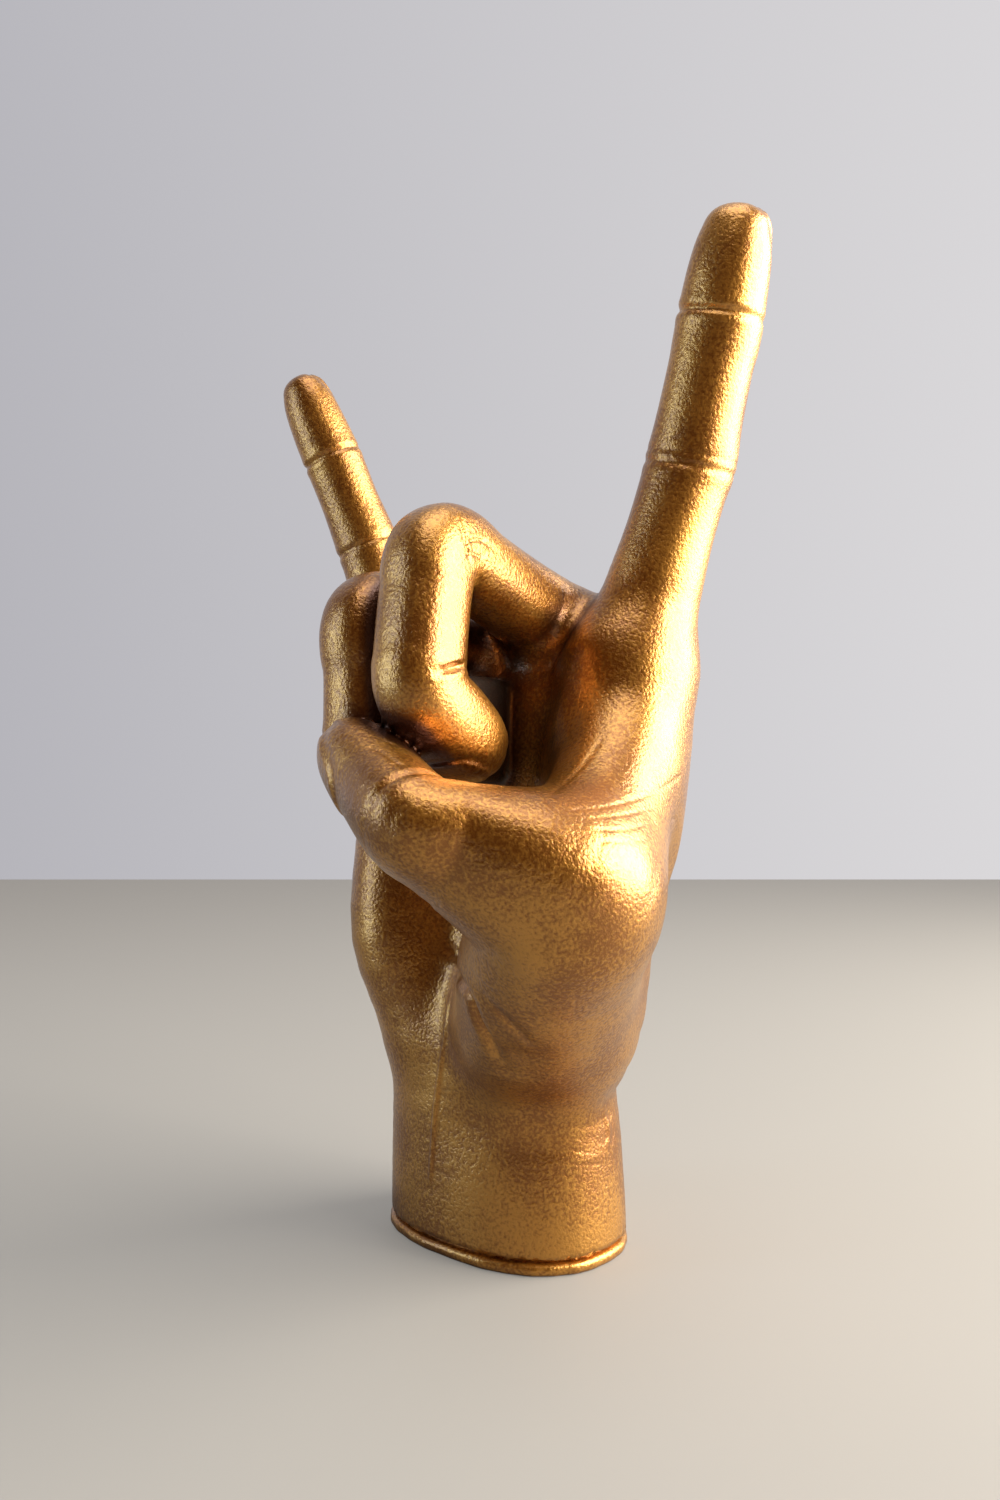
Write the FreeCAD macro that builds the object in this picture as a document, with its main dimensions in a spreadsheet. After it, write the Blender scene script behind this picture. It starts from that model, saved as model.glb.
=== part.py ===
# Ceramic hand in the horns gesture, a slip-cast right hand that stands on its wrist.
#
# The frame: +Z up, the origin at the middle of the underside, the palm faces -Y,
# the thumb and the index finger are on the +X side. Millimetres and degrees.
#
# The palm and the wrist are one hollow casting. The fingers and the thumb are cast
# apart, because a mould can't be drawn off curled fingers, and are luted to stubs on
# it. A plate with a vent hole closes the wrist. Each casting is a loft through
# sections whose sizes and places follow the sheet of driving dimensions.
import FreeCAD, Part
import math
import os

Vector = FreeCAD.Vector
SECTION_SIDES = 30
doc = FreeCAD.newDocument("ceramic_hand")

# Driving dimensions, each settable by itself: lengths, then the angles of the joints
SIZES = {
    "plate_thickness": 2.6,
    "plate_lip": 0.8,
    "joint_gap_height": 0.5,
    "joint_gap_depth": 1.4,
    "step_height": 3.0,
    "step_clearance": 0.3,
    "vent_diameter": 6.0,
    "wall": 5.0,
    "wrist_width": 60.0,
    "wrist_depth": 42.5,
    "wrist_height": 46.0,
    "palm_width": 84.0,
    "palm_thickness": 25.0,
    "palm_height": 95.0,
    "heel_width": 27.0,
    "thumb_ball_width": 30.0,
    "thumb_metacarpal": 45.4,
    "index_width": 20.0,
    "index_proximal": 45.0,
    "index_middle": 27.0,
    "index_distal": 27.5,
    "middle_width": 18.8,
    "middle_proximal": 49.5,
    "middle_middle": 32.5,
    "middle_distal": 25.0,
    "ring_width": 18.0,
    "ring_proximal": 45.5,
    "ring_middle": 32.0,
    "ring_distal": 24.0,
    "little_width": 15.0,
    "little_proximal": 35.0,
    "little_middle": 21.0,
    "little_distal": 24.0,
    "thumb_width": 28.0,
    "thumb_proximal": 32.7,
    "thumb_distal": 29.0,
}
ANGLES = {
    "index_spread": 14.5,
    "index_curl": -7.2,
    "index_middle_curl": 8.5,
    "index_distal_curl": 2.5,
    "middle_spread": -4.1,
    "middle_curl": 71.2,
    "middle_middle_curl": 97.6,
    "middle_distal_curl": 67.3,
    "ring_spread": -2.5,
    "ring_curl": 75.5,
    "ring_middle_curl": 101.5,
    "ring_distal_curl": 57.0,
    "little_spread": -15.8,
    "little_curl": 8.1,
    "little_middle_curl": 6.9,
    "little_distal_curl": 2.2,
}

sheet = doc.addObject("Spreadsheet::Sheet", "Sizes")
for row, (alias, value) in enumerate((SIZES | ANGLES).items(), start=1):
    sheet.set("A%d" % row, alias)
    sheet.set("B%d" % row, str(value))
    sheet.setAlias("B%d" % row, alias)
doc.recompute()

UP = Vector(0, 0, 1)
BACK = Vector(0, 1, 0)
RIGHT = Vector(1, 0, 0)


def size(alias):
    """The value of one driving dimension, read from the sheet."""
    return float(sheet.get(alias))


def turned(vector, axis, degrees):
    """The vector turned about the axis."""
    return FreeCAD.Rotation(axis, degrees).multVec(vector)


def way(across, back, up):
    """A direction in the hand, as a unit vector."""
    return Vector(across, back, up).normalize()


class Place:
    """A point written as a sum of driving dimensions, each times a direction."""

    def __init__(self, terms=()):
        self.terms = list(terms)

    def go(self, alias, direction):
        """The point reached from here by going that dimension along the direction."""
        return Place(self.terms + [(alias, direction)])

    def bind(self, item):
        """Bind the item's placement to the driving dimensions, axis by axis."""
        for axis in "xyz":
            sums = ["Sizes.%s * (%.6f)" % (alias, getattr(step, axis)) for alias, step in self.terms]
            item.setExpression("Placement.Base." + axis, " + ".join(sums))


def in_palm(across_share, back_share, height_share):
    """A place in shares of the palm's width, thickness and height above the wrist crease."""
    place = Place([("wrist_height", UP)])
    place = place.go("palm_width", RIGHT * across_share)
    place = place.go("palm_thickness", BACK * back_share)
    return place.go("palm_height", UP * height_share)


def level(alias_shares, shift_share=0.0):
    """A place on the hand's axis, its height given by dimensions and their shares."""
    place = Place([(alias, UP * share) for alias, share in alias_shares])
    return place.go("palm_width", RIGHT * shift_share)


def seat(item, place, along, back):
    """Set an item square to the way along a limb, with its short axis towards the back."""
    item.Placement = FreeCAD.Placement(Vector(), FreeCAD.Rotation(back.cross(along), back, along, "ZXY"))
    place.bind(item)


def ring_of_sides(name, place, along, back, width, wide_share):
    """A round section of a finger, its radius a share of the finger's width."""
    ring = doc.addObject("Part::RegularPolygon", name)
    ring.Polygon = SECTION_SIDES
    ring.setExpression("Circumradius", "Sizes.%s * %.6f" % (width, wide_share))
    seat(ring, place, along, back)
    return ring


def outline(name, place, along, back, half_width, back_depth, front_depth, squareness=2):
    """A section that isn't round: between an ellipse, at 2, and a rectangle.

    It has many short sides, and its back and its palm side have their own depths.
    """
    corners = []
    for number in range(SECTION_SIDES + 1):
        angle = 2 * math.pi * number / SECTION_SIDES
        cosine = math.cos(angle)
        sine = math.sin(angle)
        across = math.copysign(abs(cosine) ** (2 / squareness), cosine)
        depth = math.copysign(abs(sine) ** (2 / squareness), sine)
        corners.append(Vector(half_width * across, depth * (back_depth if sine > 0 else front_depth), 0))
    corners[-1] = corners[0]
    wire = doc.addObject("Part::Feature", name)
    wire.Shape = Part.makePolygon(corners)
    seat(wire, place, along, back)
    return wire


def loft(name, sections):
    """A closed solid through the sections, straight from each to the next."""
    body = doc.addObject("Part::Loft", name)
    body.Sections = sections
    body.Solid = True
    body.Ruled = True
    return body


def mound(name, width, rows):
    """A muscle or a knuckle of the hand: places, directions, half widths and thicknesses."""
    sections = []
    for place, along, back, wide, thick in rows:
        label = "%s_section_%d" % (name, len(sections) + 1)
        half = thick * size(width)
        sections.append(outline(label, place, along, back, wide * size(width), half, half))
    return loft(name, sections)


def fuse(name, items):
    """One solid of all the items."""
    body = doc.addObject("Part::MultiFuse", name)
    body.Shapes = items
    return body


def cut(name, base, tools):
    """The base without the tools; the pieces then meet face to face."""
    for number, tool in enumerate(tools, start=1):
        result = doc.addObject("Part::Cut", "%s_less_%d" % (name, number))
        result.Base = base
        result.Tool = tool
        base = result
    return base


# The body of the hand, first the wrist and the slab of the palm.
# Rows of the wrist: height in shares of the wrist's height above the foot; half width in
# shares of its width; depth to the back and to the front in shares of its depth; squareness
WRIST_SHARES = (
    (0.0, 0.505, 0.5, 0.52, 2.2),
    (0.5, 0.487, 0.475, 0.475, 2.2),
    (0.9, 0.475, 0.45, 0.44, 2.2),
)
# Rows of the palm: height above the wrist; half width and shift across in shares of its
# width; depth to the back and to the front in shares of its thickness; squareness
PALM_SHARES = (
    (0.12, 0.385, 0.008, 0.78, 0.66, 2.3),
    (0.34, 0.432, 0.006, 0.82, 0.5, 2.5),
    (0.58, 0.474, 0.02, 0.84, 0.36, 2.6),
    (0.8, 0.497, 0.022, 0.84, 0.32, 2.6),
    (0.92, 0.492, 0.016, 0.76, 0.2, 2.6),
    (0.98, 0.45, 0.01, 0.54, 0.08, 2.4),
)
FOOT_SHARES = (("plate_thickness", 1.0), ("joint_gap_height", 1.0))


def hand_outlines(name, inset, wrist_rows, palm_rows):
    """The level outlines of the wrist and the palm, drawn in by a wall."""
    outlines = []
    for height, wide, back, front, squareness in wrist_rows:
        foot = [(alias, share * (1 - height)) for alias, share in FOOT_SHARES]
        place = level(foot + [("wrist_height", height)])
        half_width = wide * size("wrist_width") - inset
        depths = [share * size("wrist_depth") - inset for share in (back, front)]
        label = "%s_wrist_%d" % (name, len(outlines) + 1)
        outlines.append(outline(label, place, UP, BACK, half_width, *depths, squareness))
    for height, wide, shift, back, front, squareness in palm_rows:
        place = level([("wrist_height", 1.0), ("palm_height", height)], shift)
        half_width = wide * size("palm_width") - inset
        depths = [share * size("palm_thickness") - inset for share in (back, front)]
        label = "%s_palm_%d" % (name, len(outlines) + 1)
        outlines.append(outline(label, place, UP, BACK, half_width, *depths, squareness))
    return outlines


slab = loft("wrist_and_slab", hand_outlines("outer", 0, WRIST_SHARES, PALM_SHARES))

# The heel of the hand, on the little finger's side.
# Rows: place in the palm; the way on; half width and half thickness in shares of its width
HEEL_SHARES = (
    ((-0.16, -0.1, -0.06), (-0.45, -0.1, 1), 0.28, 0.26),
    ((-0.2, -0.3, 0.04), (-0.4, -0.1, 1), 0.42, 0.4),
    ((-0.275, -0.4, 0.24), (-0.2, 0, 1), 0.5, 0.46),
    ((-0.31, -0.3, 0.5), (-0.08, 0, 1), 0.46, 0.44),
    ((-0.33, -0.2, 0.7), (-0.08, 0.1, 1), 0.38, 0.36),
    ((-0.34, 0.0, 0.82), (-0.08, 0.1, 1), 0.26, 0.25),
)
heel = mound("heel_mound", "heel_width", [
    (in_palm(*place), way(*along), BACK, wide, thick) for place, along, wide, thick in HEEL_SHARES])

# The ball of the thumb lies round the thumb's first bone, from the wrist past the knuckle.
# Rows: share of the bone's length; half width and half thickness in shares of its width
THUMB_ROOT_SHARES = (0.24, -0.56, 0.11)
METACARPAL_WAY = way(0.55, -0.51, 0.66)
METACARPAL_BACK = way(0.83, 0.5, -0.31)
THUMB_BALL_SHARES = (
    (-0.3, 0.4, 0.38),
    (0.05, 0.54, 0.5),
    (0.4, 0.57, 0.51),
    (0.75, 0.56, 0.46),
    (1.05, 0.44, 0.41),
    (1.22, 0.26, 0.22),
)


def on_metacarpal(share):
    """A place on the thumb's first bone."""
    return in_palm(*THUMB_ROOT_SHARES).go("thumb_metacarpal", METACARPAL_WAY * share)


thumb_ball = mound("thumb_ball", "thumb_ball_width", [
    (on_metacarpal(share), METACARPAL_WAY, METACARPAL_BACK, wide, thick)
    for share, wide, thick in THUMB_BALL_SHARES])

# The web of skin, from the thumb's knuckle across to the palm's edge, and its rim, which
# rises from there to the index finger's knuckle.
# Rows: place in the palm; the way on; half width and half thickness in shares of the ball's width
WEB_START_SHARE = 0.98
WEB_START = ((-0.4, 1, 0.3), 0.4, 0.32)
WEB_SHARES = (
    ((0.44, -0.6, 0.5), (-0.2, 1, 0.2), 0.42, 0.32),
    ((0.38, 0.1, 0.56), (-0.3, 1, 0.2), 0.42, 0.32),
)
RIM_START = ((-0.3, 0.8, 1), 0.38, 0.36)
RIM_SHARES = (
    ((0.475, -0.72, 0.57), (-0.3, 0.9, 1), 0.4, 0.36),
    ((0.43, -0.2, 0.72), (-0.2, 0.6, 1), 0.42, 0.38),
    ((0.4, 0.14, 0.9), (-0.1, 0.3, 1), 0.4, 0.38),
)


def from_metacarpal(name, start, rows):
    """A fold of skin that starts at the thumb's knuckle and goes on through the palm."""
    along, wide, thick = start
    first = (on_metacarpal(WEB_START_SHARE), way(*along), METACARPAL_WAY, wide, thick)
    others = [(in_palm(*place), way(*along), METACARPAL_WAY, wide, thick) for place, along, wide, thick in rows]
    return mound(name, "thumb_ball_width", [first] + others)


web = from_metacarpal("thumb_web", WEB_START, WEB_SHARES)
rim = from_metacarpal("web_rim", RIM_START, RIM_SHARES)

# The fingers and the thumb. Each is a chain of bones: a stub on the palm carries the
# knuckle, and the casting that is luted to the stub runs on to the tip. In shares of the
# finger's width:
#   stub: how far behind the knuckle; half width there as a share of the knuckle's
#   bones: for each bone, share of its length and half width; the first is the stub's end
#   bends: after which bone; radius, half width and swell of the bend; its corners
#   tip: how far past the last row; half width there as a share of the last row's
#   thickness: thickness as a share of the width
STRAIGHT_SHARES = {
    "stub": ((0.6, 0.9),),
    "bones": (
        ((0.3, 0.52), (0.6, 0.5)),
        ((0.0, 0.505), (0.45, 0.48)),
        ((0.0, 0.48), (0.45, 0.45), (0.72, 0.39)),
    ),
    "bends": {},
    "tip": ((0.22, 0.84), (0.38, 0.35)),
    "thickness": 1.0,
}
CURLED_SHARES = {
    "stub": ((0.494, 0.35), (0.286, 0.84)),
    "bones": (
        ((0.4, 0.5),),
        ((0.5, 0.465),),
        ((0.45, 0.455), (0.75, 0.385)),
    ),
    "bends": {0: (0.5, 0.48, 0.03, 4), 1: (0.48, 0.465, 0.02, 3)},
    "tip": ((0.187, 0.84), (0.323, 0.35)),
    "thickness": 1.0,
}
THUMB_SHARES = {
    "stub": ((0.3, 0.9),),
    "bones": (
        ((0.42, 0.5), (0.76, 0.48)),
        ((0.22, 0.455), (0.8, 0.34)),
    ),
    "bends": {},
    "tip": ((0.165, 0.84), (0.285, 0.35)),
    "thickness": 0.8,
}
INDEX_ROOT_SHARES = (0.371, 0.27, 0.93)
MIDDLE_ROOT_SHARES = (0.127, 0.36, 1.0)
RING_ROOT_SHARES = (-0.121, 0.21, 0.938)
LITTLE_ROOT_SHARES = (-0.385, -0.02, 0.923)
THUMB_WAYS = (way(-0.755, -0.532, 0.382), way(-0.862, 0.241, 0.448))
THUMB_BACKS = (way(0.23, -0.76, -0.6), way(-0.45, -0.75, -0.46))


def limb(name, root, bones, ways, backs, shares):
    """The stub and the casting of one finger, along bones that run their own ways."""
    width = name + "_width"
    thickness = shares["thickness"]
    sections = []

    def section(place, along, back, wide, stretch=1.0):
        label = "%s_section_%d" % (name, len(sections) + 1)
        if thickness * stretch == 1:
            sections.append(ring_of_sides(label, place, along, back, width, wide))
        else:
            half = wide * thickness * stretch * size(width)
            sections.append(outline(label, place, along, back, wide * size(width), half, half))

    joint = root
    for number, bone in enumerate(bones):
        for share, wide in shares["bones"][number]:
            section(joint.go(bone, ways[number] * share), ways[number], backs[number], wide)
        joint = joint.go(bone, ways[number])
        if number in shares["bends"]:
            # Straight lengths of the finger meet on mitres, so each mitre's section is longer
            radius, wide, swell, corners = shares["bends"][number]
            side = backs[number].cross(ways[number])
            bend = math.degrees(ways[number].getAngle(ways[number + 1]))
            tangent = radius * math.tan(math.radians(bend / 2))
            stretch = 1 / math.cos(math.radians(bend / corners / 2))
            centre = joint.go(width, ways[number] * -tangent - backs[number] * radius)
            for corner in range(corners):
                share = (corner + 0.5) / corners
                up = turned(backs[number], side, bend * share)
                along = turned(ways[number], side, bend * share)
                knuckle = swell * math.sin(math.pi * share)
                section(centre.go(width, up * (radius * stretch + knuckle)), along, up, wide + knuckle, stretch)
    last_share, wide = shares["bones"][-1][-1]
    end = joint.go(bones[-1], ways[-1] * (last_share - 1))
    for reach, narrow in shares["tip"]:
        section(end.go(width, ways[-1] * reach), ways[-1], backs[-1], wide * narrow)

    end_share, wide = shares["bones"][0][0]
    stub_rows = []
    for reach, narrow in shares["stub"]:
        place = root.go(width, ways[0] * -reach)
        stub_rows.append((place, ways[0], backs[0], wide * narrow, wide * narrow * thickness))
    stub_rows.append((root, ways[0], backs[0], wide, wide * thickness))
    stub_end = root.go(bones[0], ways[0] * end_share)
    stub_rows.append((stub_end, ways[0], backs[0], wide, wide * thickness))
    return mound(name + "_stub", width, stub_rows), loft(name + "_casting", sections)


def finger(name, root_shares, shares):
    """A finger whose bones curl about one axis across the palm."""
    along = turned(UP, BACK, size(name + "_spread"))
    side = BACK.cross(along)
    ways = []
    backs = []
    turn = 0.0
    for curl in ("_curl", "_middle_curl", "_distal_curl"):
        turn += size(name + curl)
        ways.append(turned(along, side, turn))
        backs.append(turned(BACK, side, turn))
    bones = [name + "_proximal", name + "_middle", name + "_distal"]
    return limb(name, in_palm(*root_shares), bones, ways, backs, shares)


index_stub, index = finger("index", INDEX_ROOT_SHARES, STRAIGHT_SHARES)
middle_stub, middle = finger("middle", MIDDLE_ROOT_SHARES, CURLED_SHARES)
ring_stub, ring = finger("ring", RING_ROOT_SHARES, CURLED_SHARES)
little_stub, little = finger("little", LITTLE_ROOT_SHARES, STRAIGHT_SHARES)
# The thumb crosses in front of the palm and lies over the curled fingers
thumb_bones = ["thumb_proximal", "thumb_distal"]
thumb_stub, thumb = limb("thumb", on_metacarpal(1.0), thumb_bones, THUMB_WAYS, THUMB_BACKS, THUMB_SHARES)

# The cavity that the slip leaves inside the wrist and the palm, open at the foot
cavity = loft("cavity", hand_outlines("inner", size("wall"), WRIST_SHARES[::2], PALM_SHARES[1:3]))
stubs = [index_stub, middle_stub, ring_stub, little_stub, thumb_stub]
palm_shell = cut("palm", fuse("hand_body", [slab, heel, thumb_ball, web, rim] + stubs), [cavity])
palm_shell.Label = "palm_shell"
thumb_piece = cut("thumb_casting", thumb, [ring, middle])
thumb_piece.Label = "thumb"
index.Label = "index_finger"
middle.Label = "middle_finger"
ring.Label = "ring_finger"
little.Label = "little_finger"

# The plate that closes the wrist: a board, a bed under the shell's rim, a step inside it
FOOT_WIDE, FOOT_BACK, FOOT_FRONT, FOOT_SQUARENESS = WRIST_SHARES[0][1:]


def layer(name, inset, floor, ceiling):
    """A flat layer of the plate between two heights, drawn in from the wrist's foot."""
    outlines = []
    for height in (floor, ceiling):
        label = "%s_outline_%d" % (name, len(outlines) + 1)
        half_width = FOOT_WIDE * size("wrist_width") - inset
        back = FOOT_BACK * size("wrist_depth") - inset
        front = FOOT_FRONT * size("wrist_depth") - inset
        place = level([(alias, 1.0) for alias in height])
        outlines.append(outline(label, place, UP, BACK, half_width, back, front, FOOT_SQUARENESS))
    return loft(name, outlines)


board_top = ["plate_thickness"]
bed_top = board_top + ["joint_gap_height"]
step_top = bed_top + ["step_height"]
board = layer("board", -size("plate_lip"), [], board_top)
bed = layer("bed", size("joint_gap_depth"), board_top, bed_top)
step = layer("step", size("wall") + size("step_clearance"), bed_top, step_top)
vent = doc.addObject("Part::Cylinder", "vent")
vent.setExpression("Radius", "Sizes.vent_diameter / 2")
vent.setExpression("Height", " + ".join("Sizes." + alias for alias in step_top))
plate = cut("plate", fuse("plate_layers", [board, bed, step]), [vent])
plate.Label = "base_plate"

nodes = [palm_shell, index, middle, ring, little, thumb_piece, plate]
doc.recompute()
faults = [item.Name for item in doc.Objects if "Invalid" in item.State or "Error" in item.State]
if faults:
    raise RuntimeError("not built: " + ", ".join(faults))
for item in nodes:
    if item.Shape.isNull() or not item.Shape.isValid():
        raise RuntimeError(item.Label + " has no valid shape")
    print(item.Label, len(item.Shape.Solids), "solid,", round(item.Shape.Volume), "mm3")
os.makedirs("parts", exist_ok=True)
for item in nodes:
    item.Shape.exportStep("parts/%s.step" % item.Label)
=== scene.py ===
import math
import bpy
import numpy as np
from mathutils import Matrix, Vector
from mathutils.bvhtree import BVHTree


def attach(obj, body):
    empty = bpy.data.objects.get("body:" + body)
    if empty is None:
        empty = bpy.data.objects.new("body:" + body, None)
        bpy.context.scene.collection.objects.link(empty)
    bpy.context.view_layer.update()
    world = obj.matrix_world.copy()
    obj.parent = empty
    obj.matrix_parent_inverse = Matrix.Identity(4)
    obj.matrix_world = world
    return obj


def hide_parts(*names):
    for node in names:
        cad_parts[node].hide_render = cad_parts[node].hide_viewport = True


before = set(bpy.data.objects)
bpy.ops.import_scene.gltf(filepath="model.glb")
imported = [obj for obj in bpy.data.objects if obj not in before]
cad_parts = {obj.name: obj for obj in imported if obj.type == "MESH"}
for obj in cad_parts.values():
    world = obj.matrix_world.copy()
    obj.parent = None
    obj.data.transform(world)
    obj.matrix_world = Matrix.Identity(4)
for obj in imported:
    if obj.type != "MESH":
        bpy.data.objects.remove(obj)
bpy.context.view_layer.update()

# The camera stands level with the middle of the hand, on the thumb's side of the palm.
# Sizes of shapes are in millimetres all through, and go to metres where a mesh is made.
MM = 0.001
PHOTO_WIDTH = 1000
PHOTO_HEIGHT = 1500
FOCAL_PIXELS = 1147
SENSOR = 36.0
CAMERA_AZIMUTH = 38.6
CAMERA_HEIGHT = 113.9
CAMERA_DISTANCE = 269.5
LOOK_AT = np.array((0.57, -3.34, 113.4))
view_angle = math.radians(CAMERA_AZIMUTH)
camera_place = LOOK_AT + CAMERA_DISTANCE * np.array((math.sin(view_angle), -math.cos(view_angle), 0))
camera_place[2] = CAMERA_HEIGHT
camera_data = bpy.data.cameras.new("photo_view")
camera_data.sensor_width = SENSOR
camera_data.lens = FOCAL_PIXELS / PHOTO_HEIGHT * SENSOR
camera = bpy.data.objects.new("photo_view", camera_data)
camera_way = Vector(LOOK_AT - camera_place)
camera_turn = camera_way.to_track_quat("-Z", "Y").to_matrix()
camera.matrix_world = Matrix.Translation(camera_place * MM) @ camera_turn.to_4x4()
bpy.context.scene.collection.objects.link(camera)
bpy.context.scene.camera = camera


# The table top and the room. A pale painted board in front of a pale wall, under soft
# studio light: a large window on the right with a small lamp beside it, a cool reflector
# on the left, a soft ceiling, and a dim brown room on the camera's side, which the gold shows.
TABLE_HALF = 720
TABLE_COLOUR = "#85827D"
TABLE_GLOW_COLOUR = "#C9C6BF"
TABLE_GLOW = 0.3
WALL_DIM = "#B6B5BB"
WALL_BRIGHT = "#DAD8DA"
# How far to the right and to the left of straight ahead the wall changes its brightness
WALL_TURN_SHARE = 0.4
# Where the room ends and the wall begins: shares of straight ahead
ROOM_END_SHARE = -0.1
WALL_SPAN_SHARE = 0.5
ROOM_COLOUR = "#8A5426"
ROOM_LEVEL = 0.36
# Name: azimuth from the camera, height, distance, width, tallness, watts, colour
LAMPS = {
    "window": (88, 320, 600, 620, 620, 13.0, "#FFF8EC"),
    "front_right": (56, 320, 560, 240, 240, 2.0, "#FFF8EC"),
    "reflector": (-80, 170, 640, 180, 620, 1.8, "#B4D6F4"),
    "ceiling": (10, 760, 150, 500, 500, 2.0, "#FFFFFF"),
}


def linear(colour):
    """The linear colour of an sRGB hex value: each channel to the power 2.4 past its toe."""
    channels = np.array([int(colour[i:i + 2], 16) for i in (1, 3, 5)]) / 255
    low = channels / 12.92
    high = ((channels + 0.055) / 1.055) ** 2.4
    return (*np.where(channels <= 0.04045, low, high), 1.0)


def add_node(material, kind, settings=None, links=None):
    """One node of the given kind, with values for its sockets and links into them."""
    node = material.node_tree.nodes.new(kind)
    for name, value in (settings or {}).items():
        if name in node.inputs:
            node.inputs[name].default_value = value
        else:
            setattr(node, name, value)
    for name, socket in (links or {}).items():
        material.node_tree.links.new(socket, node.inputs[name])
    return node


right_way = np.array((math.cos(view_angle), math.sin(view_angle), 0))
far_way = np.array((-math.sin(view_angle), math.cos(view_angle), 0))
table_mesh = bpy.data.meshes.new("table_top")
corners = [(right * right_way + far * far_way) * TABLE_HALF * MM
           for right, far in ((-1, -1), (1, -1), (1, 1), (-1, 1))]
table_mesh.from_pydata([tuple(corner) for corner in corners], [], [(0, 1, 2, 3)])
table = bpy.data.objects.new("table_top", table_mesh)
bpy.context.scene.collection.objects.link(table)
board = bpy.data.materials.new("pale_board")
board.use_nodes = True
board_paint = board.node_tree.nodes["Principled BSDF"]
board_paint.inputs["Base Color"].default_value = linear(TABLE_COLOUR)
board_paint.inputs["Roughness"].default_value = 0.7
# The board glows a little where the camera sees it, so that it is pale to its far edge
board_paint.inputs["Emission Color"].default_value = linear(TABLE_GLOW_COLOUR)
board_ray = add_node(board, "ShaderNodeLightPath")
glow = add_node(board, "ShaderNodeMath", {"operation": "MULTIPLY"})
glow.inputs[1].default_value = TABLE_GLOW
board.node_tree.links.new(board_ray.outputs["Is Camera Ray"], glow.inputs[0])
board.node_tree.links.new(glow.outputs[0], board_paint.inputs["Emission Strength"])
table_mesh.materials.append(board)

# The wall is behind the hand and brighter on the right; the room is on the camera's side
room = bpy.data.worlds.new("room")
room.use_nodes = True
bpy.context.scene.world = room
air = room.node_tree.nodes["Background"]
toward = add_node(room, "ShaderNodeTexCoord")


def share_along(way, low, high):
    """How far a direction of the world goes along a way, from 0 at low to 1 at high."""
    along = add_node(room, "ShaderNodeVectorMath", {"operation": "DOT_PRODUCT"},
                     {0: toward.outputs["Generated"]})
    along.inputs[1].default_value = way
    share = add_node(room, "ShaderNodeMapRange", {"From Min": low, "From Max": high},
                     {0: along.outputs["Value"]})
    return share.outputs[0]


wall = add_node(room, "ShaderNodeMix", {"data_type": "RGBA"},
                {0: share_along(right_way, -WALL_TURN_SHARE, WALL_TURN_SHARE)})
wall.inputs[6].default_value = linear(WALL_DIM)
wall.inputs[7].default_value = linear(WALL_BRIGHT)
dark = tuple(ROOM_LEVEL * channel for channel in linear(ROOM_COLOUR)[:3]) + (1.0,)
around = add_node(room, "ShaderNodeMix", {"data_type": "RGBA"},
                  {0: share_along(far_way, ROOM_END_SHARE, WALL_SPAN_SHARE)})
around.inputs[6].default_value = dark
room.node_tree.links.new(wall.outputs[2], around.inputs[7])
room.node_tree.links.new(around.outputs[2], air.inputs["Color"])

for name, (azimuth, height, distance, wide, tall, watts, colour) in LAMPS.items():
    lamp_data = bpy.data.lights.new(name, "AREA")
    lamp_data.shape = "RECTANGLE"
    lamp_data.size = wide * MM
    lamp_data.size_y = tall * MM
    lamp_data.energy = watts
    lamp_data.color = linear(colour)[:3]
    lamp = bpy.data.objects.new(name, lamp_data)
    angle = view_angle + math.radians(azimuth)
    lamp_place = np.array((math.sin(angle) * distance, -math.cos(angle) * distance, height))
    lamp_way = Vector(LOOK_AT - lamp_place)
    lamp_turn = lamp_way.to_track_quat("-Z", "Y").to_matrix().to_4x4()
    lamp.matrix_world = Matrix.Translation(lamp_place * MM) @ lamp_turn
    bpy.context.scene.collection.objects.link(lamp)
bpy.context.scene.view_settings.view_transform = "Standard"


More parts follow.
